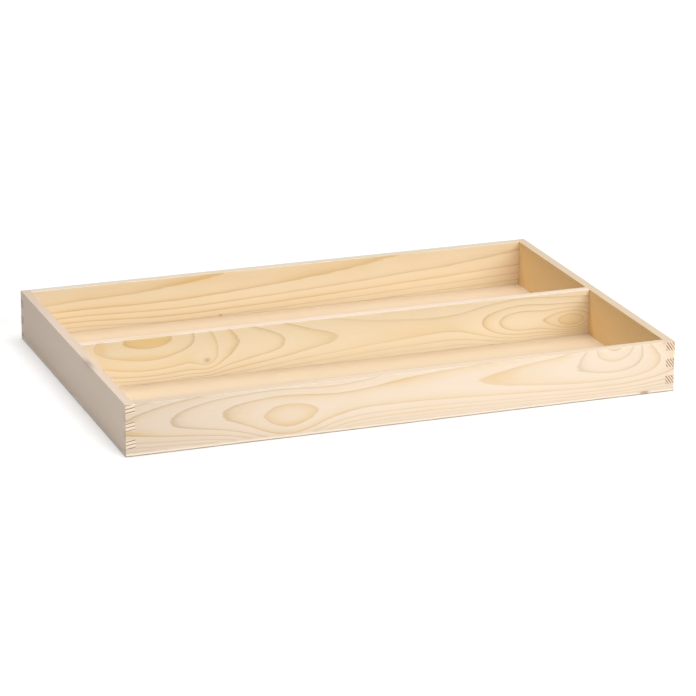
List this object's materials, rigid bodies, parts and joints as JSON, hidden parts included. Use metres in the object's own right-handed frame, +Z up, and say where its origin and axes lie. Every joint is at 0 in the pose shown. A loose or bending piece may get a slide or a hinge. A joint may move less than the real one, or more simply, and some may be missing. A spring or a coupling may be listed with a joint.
{
  "type": "drawer organizer insert",
  "caption": "Shallow finger-jointed pine tray with a full-length divider and a thin plywood bottom, for laying in a drawer.",
  "frame": {"origin": "middle of the underside", "axes": "+X along the long front, +Y from the front to the back, +Z up"},
  "size_m": [0.6, 0.4, 0.055],
  "materials": {
    "pine": "sanded, unvarnished",
    "plywood": "sanded, unvarnished",
    "staple_steel": "zinc-plated wire"
  },
  "bodies": {
    "root": {"front_board": "pine", "back_board": "pine", "left_side_board": "pine", "right_side_board": "pine", "divider_board": "pine", "bottom_panel": "plywood", "staple_front_1": "staple_steel", "staple_front_2": "staple_steel", "staple_front_3": "staple_steel", "staple_front_4": "staple_steel", "staple_front_5": "staple_steel", "staple_back_1": "staple_steel", "staple_back_2": "staple_steel", "staple_back_3": "staple_steel", "staple_back_4": "staple_steel", "staple_back_5": "staple_steel", "staple_left_1": "staple_steel", "staple_left_2": "staple_steel", "staple_left_3": "staple_steel", "staple_left_4": "staple_steel", "staple_right_1": "staple_steel", "staple_right_2": "staple_steel", "staple_right_3": "staple_steel", "staple_right_4": "staple_steel", "staple_divider_1": "staple_steel", "staple_divider_2": "staple_steel", "staple_divider_3": "staple_steel", "staple_divider_4": "staple_steel"}
  },
  "joints": []
}
